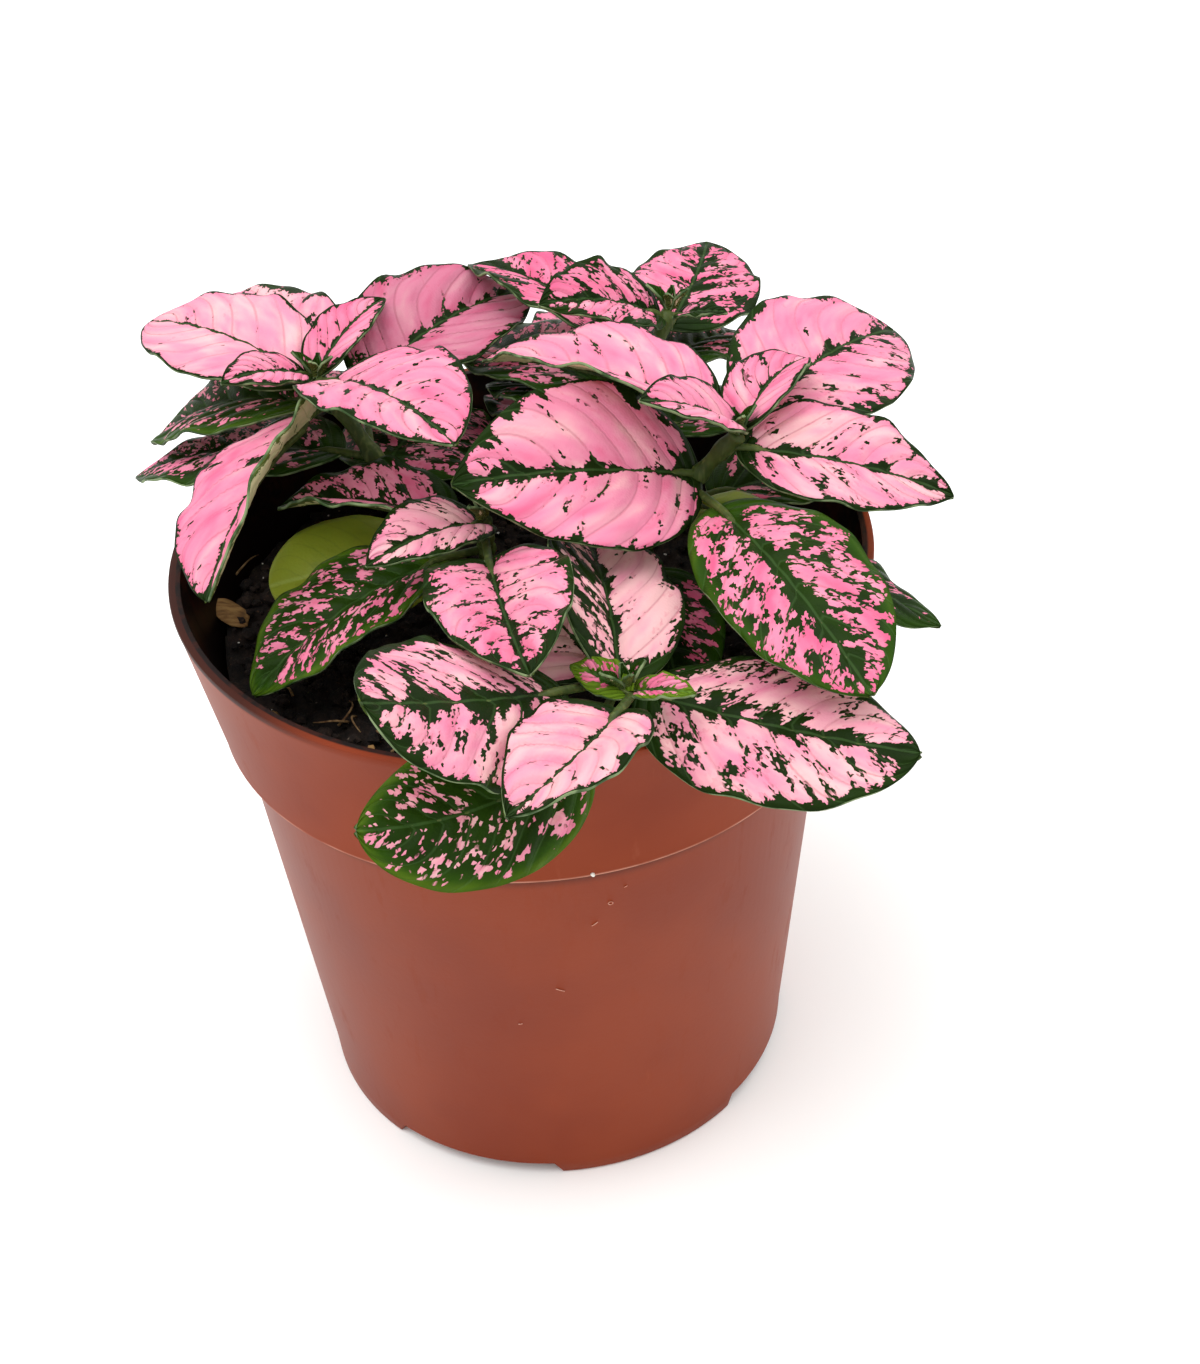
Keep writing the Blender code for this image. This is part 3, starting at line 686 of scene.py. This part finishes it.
def midrib(row, start):
    """Points, directions and headings along a leaf's stalk and midrib, by distance from the stem."""
    reach = (row["stalk"] + row["length"]) * MM
    share = np.linspace(0.0, 1.0, 60)
    pitch = np.radians(row["pitch"] - row["droop"] * share)
    heading = np.radians(row["heading"] + row["sweep"] * share)
    ahead = np.stack([np.cos(pitch) * np.cos(heading), np.cos(pitch) * np.sin(heading), np.sin(pitch)], 1)
    steps = (ahead[1:] + ahead[:-1]) / 2 * reach / (len(share) - 1)
    points = np.array(start) + np.vstack([np.zeros(3), np.cumsum(steps, axis=0)])

    def at(distance):
        """Arrays of points, directions along the midrib and directions to its left."""
        here = np.clip(np.asarray(distance) / reach, 0.0, 1.0)
        point = np.stack([np.interp(here, share, points[:, axis]) for axis in range(3)], -1)
        along = np.stack([np.interp(here, share, ahead[:, axis]) for axis in range(3)], -1)
        along /= np.linalg.norm(along, axis=-1, keepdims=True)
        turn = np.interp(here, share, heading)
        side = np.stack([-np.sin(turn), np.cos(turn), np.zeros_like(turn)], -1)
        return point, along, side

    return at


def half_width(row, u):
    """Half the blade's width in metres, u running from 0 at its base to 1 at its point."""
    u = np.clip(u, 0.0, 1.0)
    base, point = row["base"], row["point"]
    widest = base / (base + point)
    peak = widest**base * (1 - widest) ** point
    blade = u**base * (1 - u) ** point / peak * row["length"] * MM * row["width"] / 2
    return np.maximum(blade, PETIOLE_HALF_WIDTH + (TIP_HALF_WIDTH - PETIOLE_HALF_WIDTH) * u)


def halves(value, v):
    """A row's value for each point: one number, or a pair for the right half and the left half."""
    if isinstance(value, tuple):
        return np.where(v < 0, value[0], value[1])
    return np.full_like(v, float(value))


def blade_points(row, at, u, v):
    """Points of the blade's plain middle surface and its normals."""
    length = row["length"] * MM
    reach = row["stalk"] * MM + length * (u - LOBE * v * v * (1 - u) ** 3)
    point, along, side = at(reach)
    upward = np.cross(along, side)
    roll = math.radians(row["roll"])
    across = side * math.cos(roll) + upward * math.sin(roll)
    normal = upward * math.cos(roll) - side * math.sin(roll)
    fold = np.radians(halves(row["fold"], v))
    curl = np.radians(halves(row["curl"], v))
    width = half_width(row, u)
    out = (np.sin(fold) - np.sin(fold - curl * abs(v))) / curl * np.sign(v)
    rise = (np.cos(fold - curl * abs(v)) - np.cos(fold)) / curl
    lift = normal * (rise * width)[:, None]
    return point + across * (out * width)[:, None] + lift, normal


def vein_phase(u, v):
    """A number that rises by one from each side vein to the next, the two sides half a step apart."""
    return (u - 0.2 * abs(v) - 0.16 * v * v) * VEIN_PAIRS + 0.18 * np.sign(v) + 0.35


def edge_distance(u, v, row):
    """Distance in mm of each point of the flat blade from its outline."""
    around = np.linspace(0.0, 1.0, 160)
    outline_x = np.concatenate([around, around]) * row["length"]
    outline_y = np.concatenate([half_width(row, around), -half_width(row, around)]) / MM
    x, y = u * row["length"], v * half_width(row, u) / MM
    gap = np.hypot(x[:, None] - outline_x[None, :], y[:, None] - outline_y[None, :])
    return gap.min(axis=1)


def build_blade(bm, row, at, seed):
    """The fine blade: a grid laid on the midrib, quilted between its veins and waved along its edge."""
    rows, columns = row["grid"]
    layers = {name: bm.verts.layers.float_vector.new(name) for name in LAYERS}
    verts = bmesh.ops.create_grid(bm, x_segments=rows, y_segments=columns, size=1.0)["verts"]
    grid = np.array([vert.co[:2] for vert in verts])
    # Rows gather towards the base and the point, where the outline turns fastest.
    u = (1 - np.cos(np.pi * (grid[:, 0] + 1) / 2)) / 2
    v = np.clip(grid[:, 1], -1.0, 1.0)
    surface, normal = blade_points(row, at, u, v)
    # The veins wander, and the edge ripples, in a way that differs from leaf to leaf.
    phase = vein_phase(u, v) + 0.22 * np.sin(TURN * (1.3 * u + 0.21 * seed) + 2.0 * v)
    pillow = 1 - abs(2 * (phase - np.floor(phase)) - 1) ** 1.6
    inner = (1 - v**4) * np.sin(np.pi * np.clip(u, 0.02, 0.98)) ** 0.5
    across_mm = v * half_width(row, u) / MM
    groove = np.exp(-((across_mm / 0.8) ** 2)) * (1 - u)
    ripple = np.sin(TURN * (2.6 * u + 0.37 * seed) + 1.3 * np.sign(v))
    ripple = ripple + 0.5 * np.sin(TURN * (5.3 * u + seed))
    lift = row["quilt"] * (pillow - 0.6) * inner - MIDRIB_GROOVE * groove
    lift = lift + row["wave"] * ripple * abs(v) ** 3 * np.sin(np.pi * np.clip(u, 0, 1)) ** 0.7
    surface = surface + normal * (lift * MM)[:, None]
    along_mm = u * row["length"]
    flow = (phase / VEIN_PAIRS) * row["length"]
    limit = 0.5 + 0.17 * (1 - 2 * halves(row["spots"], v))
    margin = halves(row["margin"], v)
    edge = edge_distance(u, v, row)
    for index, vert in enumerate(verts):
        vert.co = surface[index]
        vert[layers["blade"]] = (along_mm[index], across_mm[index], edge[index])
        vert[layers["veins"]] = (flow[index], across_mm[index], phase[index])
        vert[layers["marks"]] = (limit[index], row["midrib"], margin[index])
        vert[layers["tint"]] = (row["pale"], row["lime"], seed * 11.3)
        # Grain, the painted shade factor and streak.
        vert[layers["grain"]] = (row["grain"], row["tone"], row["streak"])
    for face in bm.faces:
        face.smooth = True


def build_leaf(name, row, shoot, seed, finishes, slot, node=None):
    """A leaf of some thickness with its stalk, in place of a CAD node or as an addition."""
    at = midrib(row, stem_point(shoot, row["place"]))
    bm = bmesh.new()
    build_blade(bm, row, at, seed)
    made = new_piece(name, bm, finishes, slot)
    wall = made.modifiers.new("thickness", "SOLIDIFY")
    wall.thickness = BLADE_THICKNESS
    wall.offset = -1.0
    wall.material_offset = 1
    wall.material_offset_rim = 2
    solid = applied(made)
    bm = bmesh.new()
    bm.from_mesh(solid)
    add_stalk(bm, row, at)
    bm.to_mesh(made.data)
    bm.free()
    bpy.data.meshes.remove(solid)
    if node:
        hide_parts(node)


def add_stalk(bm, row, at):
    """The stalk from the stem, which runs on under the blade as its raised midrib."""
    stalk, length = row["stalk"] * MM, row["length"] * MM
    young = min(1.0, row["length"] / 24)
    roll = math.radians(row["roll"])

    def path(share):
        distance = share * (stalk + STALK_REACH * length)
        point, along, side = at(distance)
        upward = np.cross(along, side)
        normal = upward * math.cos(roll) - side * math.sin(roll)
        under = np.clip((distance - stalk) / (2 * MM), 0.0, 1.0)
        sunk = under * (MIDRIB_GROOVE * (1 - (distance - stalk) / length) * MM + radius(share))
        return point - normal * (0.1 * MM + sunk)

    def radius(share):
        distance = share * (stalk + STALK_REACH * length)
        on_blade = max(0.0, (distance - stalk) / length)
        return STALK_RADIUS * young * (1 - 0.85 * min(1.0, on_blade / STALK_REACH))

    tube(bm, path, radius, 22, 8, finish=3)


def build_stem(name, shoot, finish):
    """A stem, swollen where its leaves join."""
    places = [row["place"] for row in shoot["leaves"]]

    def radius(share):
        plain = STEM_FOOT_RADIUS + share * (STEM_TIP_RADIUS - STEM_FOOT_RADIUS)
        knots = max(math.exp(-(((share - place) / KNOT_LENGTH) ** 2)) for place in places)
        return plain * (0.92 + 0.3 * knots)

    bm = bmesh.new()
    tube(bm, lambda share: stem_point(shoot, share), radius, 60, 14)
    new_piece(name + "_fine", bm, [finish], "stem", name)


def bud_leaves(name):
    """The small folded leaves at a shoot's tip, in pairs that stand steeper towards the middle."""
    turn = 40 * len(name)
    return [leaf(f"bud_leaf_{index + 1}", 1.0, turn + 180 * index + 90 * (index // 2),
                 (64, 70, 80, 84)[index], (4.6, 4.0, 3.4, 3.0)[index], "blotched", "bud",
                 midrib=0.2, margin=0.2, lime=0.5, grain=0.5, pale=0.6, spots=0.42) for index in range(4)]


def build_plant(finishes):
    """The stems with their leaves, which have finishes for the top, underside, rim and stalk."""
    spotted = ("spotted_leaf", "leaf_underside", "leaf_rim", "green_stem")
    leaf_finishes = [finishes[name] for name in spotted]
    seed_finishes = [finishes["plain_leaf"]] * 3 + [finishes["green_stem"]]
    count = 0
    for name, shoot in SHOOTS.items():
        build_stem(f"{name}_stem", shoot, finishes["green_stem"])
        for row in shoot["leaves"] + bud_leaves(name):
            count += 1
            node = f"{name}_{row['name']}"
            if "seed" in node:
                build_leaf(node + "_fine", row, shoot, count, seed_finishes, "plain_leaf", node)
            elif "bud" in node:
                build_leaf(node, row, shoot, count, leaf_finishes, "spotted_leaf")
            else:
                build_leaf(node + "_fine", row, shoot, count, leaf_finishes, "spotted_leaf", node)


def pot_outline():
    """The wall's outline at +X from the lip down the outside, under the floor and up the inside."""
    inner_top = RIM_RADIUS - LIP - WALL
    inner_step = BODY_TOP_RADIUS - WALL
    slope = (RIM_RADIUS - BAND_FOOT_RADIUS) / (POT_HEIGHT - BAND_FOOT_Z)
    edge = 0.25 * MM
    return [
        (RIM_RADIUS - LIP / 2, POT_HEIGHT),
        (RIM_RADIUS - 0.1 * LIP, POT_HEIGHT - 0.1 * LIP),
        (RIM_RADIUS, POT_HEIGHT - LIP / 2),
        (RIM_RADIUS - slope * 2 * LIP, POT_HEIGHT - 2 * LIP),
        (BAND_FOOT_RADIUS + slope * 2 * edge, BAND_FOOT_Z + 2 * edge),
        (BAND_FOOT_RADIUS + 0.6 * edge, BAND_FOOT_Z + edge),
        (BAND_FOOT_RADIUS + 0.5 * edge, BAND_FOOT_Z + 0.3 * edge),
        (BAND_FOOT_RADIUS, BAND_FOOT_Z),
        (BODY_TOP_RADIUS + edge, BAND_FOOT_Z),
        (BODY_TOP_RADIUS, BAND_FOOT_Z - edge),
        (BASE_RADIUS + 0.3 * MM, 5.0 * MM),
        (BASE_RADIUS + 0.15 * MM, NOTCH_HEIGHT),
        (BASE_RADIUS, 0.4 * MM),
        (BASE_RADIUS - 0.3 * MM, 0.0),
        (BASE_RADIUS - FOOT_WIDTH + 0.3 * MM, 0.0),
        (BASE_RADIUS - FOOT_WIDTH, 0.4 * MM),
        (BASE_RADIUS - FOOT_WIDTH, NOTCH_HEIGHT),
        (BASE_RADIUS - FOOT_WIDTH - 0.3 * MM, FLOOR_Z),
        (0.0, FLOOR_Z),
        (0.0, FLOOR_Z + WALL),
        (BASE_RADIUS - WALL - 1 * MM, FLOOR_Z + WALL),
        (BASE_RADIUS - WALL, FLOOR_Z + WALL + 1 * MM),
        (inner_step, BAND_FOOT_Z + WALL),
        (inner_top, POT_HEIGHT - LIP),
        (inner_top + 0.3 * LIP, POT_HEIGHT - 0.1 * LIP),
    ]


def spun(outline, steps):
    """An outline turned once round Z, closed and with its faces outwards."""
    bm = bmesh.new()
    verts = [bm.verts.new((x, 0.0, z)) for x, z in outline]
    edges = [bm.edges.new(pair) for pair in zip(verts, verts[1:])]
    if outline[0][0] > 0:
        edges.append(bm.edges.new((verts[-1], verts[0])))
    bmesh.ops.spin(bm, geom=verts + edges, cent=(0, 0, 0), axis=(0, 0, 1), angle=TURN, steps=steps,
                   use_merge=True)
    bmesh.ops.remove_doubles(bm, verts=bm.verts, dist=1e-6)
    bmesh.ops.recalc_face_normals(bm, faces=bm.faces)
    return bm


def build_pot(finish):
    bm = spun(pot_outline(), 180)
    # Four gaps in the foot ring, where its lowest part is pressed up.
    for vert in bm.verts:
        angle = math.degrees(math.atan2(vert.co.y, vert.co.x))
        from_gap = (angle - FIRST_NOTCH_AT + 45) % 90 - 45
        if abs(from_gap) < NOTCH_ANGLE / 2 and vert.co.z < NOTCH_HEIGHT:
            vert.co.z = NOTCH_HEIGHT
    made = new_piece("nursery_pot_fine", bm, [finish], "pot_plastic", "nursery_pot")
    drill = bmesh.new()
    for index in range(DRAIN_COUNT):
        angle = TURN * index / DRAIN_COUNT
        hole = bmesh.ops.create_cone(drill, cap_ends=True, segments=24, radius1=DRAIN_RADIUS,
                                     radius2=DRAIN_RADIUS, depth=4 * WALL)
        centre = (DRAIN_CIRCLE * math.cos(angle), DRAIN_CIRCLE * math.sin(angle), FLOOR_Z + WALL / 2)
        bmesh.ops.translate(drill, verts=hole["verts"], vec=centre)
    drill_mesh = bpy.data.meshes.new("drain_drill")
    drill.to_mesh(drill_mesh)
    drill.free()
    drill_object = new_object("drain_drill", drill_mesh)
    cut = made.modifiers.new("drain_holes", "BOOLEAN")
    cut.object = drill_object
    cut.solver = "EXACT"
    made.data = applied(made)
    made.data.set_sharp_from_angle(angle=math.radians(40))
    bpy.data.objects.remove(drill_object)


def build_compost(finish):
    """The plug of compost, its top broken up into clods."""
    inner = BODY_TOP_RADIUS - WALL
    top_radius = inner + BAND_SLOPE * (COMPOST_TOP - BAND_FOOT_Z - WALL) - 0.4 * MM
    rings = 70
    outline = [(top_radius * index / rings, COMPOST_TOP) for index in range(rings + 1)]
    foot_z = FLOOR_Z + WALL + 0.3 * MM
    outline += [(inner - 0.5 * MM, BAND_FOOT_Z), (BASE_RADIUS - WALL - 0.6 * MM, foot_z), (0.0, foot_z)]
    bm = spun(outline, 200)
    for vert in bm.verts:
        if vert.co.z < COMPOST_TOP - 0.1 * MM:
            continue
        x, y = vert.co.x, vert.co.y
        clods = noise.fractal(Vector((x, y, 0.0)) * 260, 0.7, 2.1, 5)
        dips = abs(noise.noise(Vector((x, y, 0.02)) * 130))
        vert.co.z = compost_height(x, y) + (1.1 * clods - 1.4 * dips - 0.3) * MM
    new_piece("compost_fine", bm, [finish], "compost", "compost")


def scatter(name, count, size_low, size_high, seed, finish, flat=1.0, detail=1, lift=0.0):
    """Small rough lumps strewn over the compost, all one piece."""
    draw = random.Random(seed)
    bm = bmesh.new()
    reach = BODY_TOP_RADIUS - 0.5 * MM
    for _ in range(count):
        radius = reach * math.sqrt(draw.random())
        angle = draw.uniform(0, TURN)
        x, y = radius * math.cos(angle), radius * math.sin(angle)
        size = draw.uniform(size_low, size_high) * MM
        made = bmesh.ops.create_icosphere(bm, subdivisions=detail, radius=size)
        stretch = Vector((draw.uniform(0.7, 1.5), draw.uniform(0.6, 1.1), flat * draw.uniform(0.5, 0.9)))
        turn = Matrix.Rotation(draw.uniform(0, TURN), 3, "Z")
        turn = turn @ Matrix.Rotation(draw.uniform(-0.5, 0.5), 3, "X")
        centre = Vector((x, y, compost_height(x, y) + lift * MM + 0.2 * size))
        for vert in made["verts"]:
            rough = 1 + 0.35 * noise.noise(vert.co / size * 1.3 + centre * 500)
            vert.co = turn @ (vert.co * stretch) * rough + centre
    new_piece(name, bm, [finish], "compost", smooth=False)


def wall_radius(z):
    """The outer radius of the pot at a height."""
    if z < BAND_FOOT_Z:
        return BASE_RADIUS + (BODY_TOP_RADIUS - BASE_RADIUS) * z / BAND_FOOT_Z
    share = (z - BAND_FOOT_Z) / (POT_HEIGHT - BAND_FOOT_Z)
    return BAND_FOOT_RADIUS + (RIM_RADIUS - BAND_FOOT_RADIUS) * share


def build_roots(finish):
    """Dry roots that lie on the compost."""
    bm = bmesh.new()
    for x, y, heading, length, bend in ROOTS:
        def path(share):
            turn = math.radians(heading + bend * (share - 0.5))
            reach = share * length * MM
            place = Vector((x * MM + reach * math.cos(turn), y * MM + reach * math.sin(turn), 0.0))
            place.z = compost_height(place.x, place.y) + (0.7 + 1.2 * math.sin(math.pi * share)) * MM
            return place

        tube(bm, path, lambda share: (0.22 - 0.14 * share) * MM, 14, 6)
    new_piece("dry_roots", bm, [finish], "compost")


def build_lint(finish):
    """Pale fibres stuck to the pot."""
    bm = bmesh.new()
    for angle, height, slope, length, bend in LINT:
        def path(share):
            turn = math.radians(slope + bend * (share - 0.5))
            reach = (share - 0.5) * length * MM
            z = height * MM + reach * math.sin(turn)
            radius = wall_radius(z) + 0.03 * MM
            around = math.radians(angle) + reach * math.cos(turn) / radius
            return radius * math.cos(around), radius * math.sin(around), z

        tube(bm, path, lambda share: 0.06 * MM, 12, 6)
    new_piece("lint_fibres", bm, [finish], "pot_plastic")


def build_speck(finish):
    """One white grain that sits on the step of the pot."""
    bm = bmesh.new()
    angle = math.radians(SPECK_ANGLE)
    radius = BAND_FOOT_RADIUS + 0.1 * MM
    centre = Vector((radius * math.cos(angle), radius * math.sin(angle), BAND_FOOT_Z + 0.3 * MM))
    made = bmesh.ops.create_icosphere(bm, subdivisions=3, radius=0.32 * MM)
    for vert in made["verts"]:
        vert.co = vert.co * (1 + 0.3 * noise.noise(vert.co * 4000)) + centre
    new_piece("white_speck", bm, [finish], "pot_plastic")


def build_wood_chip(finish):
    """One large flat chip that lies by the wall."""
    bm = bmesh.new()
    made = bmesh.ops.create_icosphere(bm, subdivisions=4, radius=1.0)
    centre = Vector((*WOOD_CHIP_PLACE, 0.0)) * MM
    centre.z = compost_height(centre.x, centre.y) + 0.9 * MM
    turn = Matrix.Rotation(math.radians(-40), 3, "Z") @ Matrix.Rotation(math.radians(18), 3, "Y")
    half_size = Vector((3.3, 2.0, 0.5))
    for vert in made["verts"]:
        rough = 1 + 0.2 * noise.noise(vert.co * 1.1) + 0.04 * noise.noise(vert.co * 5)
        vert.co = turn @ (vert.co * half_size) * rough * MM + centre
    new_piece("large_wood_chip", bm, [finish], "compost")


# ---- Studio

SOFTBOX_SIZE = 0.8
SOFTBOX_AIM_Z = 60 * MM
CAMERA_PLACE = (0.0, -0.2724, 0.2829)
LOOK_DOWN = 38.22
LOOK_RIGHT = 2.17
TILT = -3.29


def build_floor(finish):
    bm = bmesh.new()
    bmesh.ops.create_grid(bm, x_segments=1, y_segments=1, size=4.0)
    mesh = bpy.data.meshes.new("studio_floor")
    bm.to_mesh(mesh)
    bm.free()
    mesh.materials.append(finish)
    floor = new_object("studio_floor", mesh)


def add_softbox(name, place, power):
    """A square lamp that faces the plant."""
    lamp = bpy.data.lights.new(name, "AREA")
    lamp.size = SOFTBOX_SIZE
    lamp.energy = power
    made = new_object(name, lamp)
    made.location = place
    aim = Vector((0.0, 0.0, SOFTBOX_AIM_Z)) - Vector(place)
    made.rotation_euler = aim.to_track_quat("-Z", "Y").to_euler()


def build_studio():
    world = bpy.data.worlds.new("studio")
    world.use_nodes = True
    background = world.node_tree.nodes["Background"]
    background.inputs["Color"].default_value = (1.0, 1.0, 1.0, 1.0)
    scene = bpy.context.scene
    scene.world = world
    scene.view_settings.view_transform = "Standard"
    add_softbox("key_light", (-0.3, -0.1, 0.95), 6.0)
    add_softbox("fill_light", (0.6, 0.2, 0.8), 3.0)


def build_camera():
    """A camera held at arm's length that looks down on the plant."""
    lens = bpy.data.cameras.new("camera")
    lens.lens = 60
    lens.clip_start = 0.01
    camera = new_object("camera", lens)
    turn = Matrix.Rotation(math.radians(-LOOK_RIGHT), 4, "Z")
    turn = turn @ Matrix.Rotation(math.radians(90 - LOOK_DOWN), 4, "X")
    turn = turn @ Matrix.Rotation(math.radians(TILT), 4, "Z")
    camera.matrix_world = Matrix.Translation(CAMERA_PLACE) @ turn
    bpy.context.scene.camera = camera


def main():
    build_camera()
    build_studio()
    makers = (spotted_leaf, leaf_underside, plain_leaf, green_stem, pot_plastic, peat, tan_wood)
    finishes = {maker.__name__: maker() for maker in makers}
    finishes.update({name: drifting_finish(name) for name in DRIFTING_FINISHES})
    build_floor(finishes["studio_floor"])
    build_pot(finishes["pot_plastic"])
    build_compost(finishes["peat"])
    scatter("peat_crumbs", 1500, 0.35, 1.3, 5, finishes["peat"])
    scatter("wood_chips", 22, 0.6, 1.4, 8, finishes["tan_wood"], flat=0.6, lift=0.4)
    build_wood_chip(finishes["tan_wood"])
    build_roots(finishes["dry_root"])
    build_lint(finishes["pale_lint"])
    scatter("white_grit", 40, 0.1, 0.24, 3, finishes["white_grit"], lift=0.6)
    build_speck(finishes["white_grit"])
    build_plant(finishes)


main()
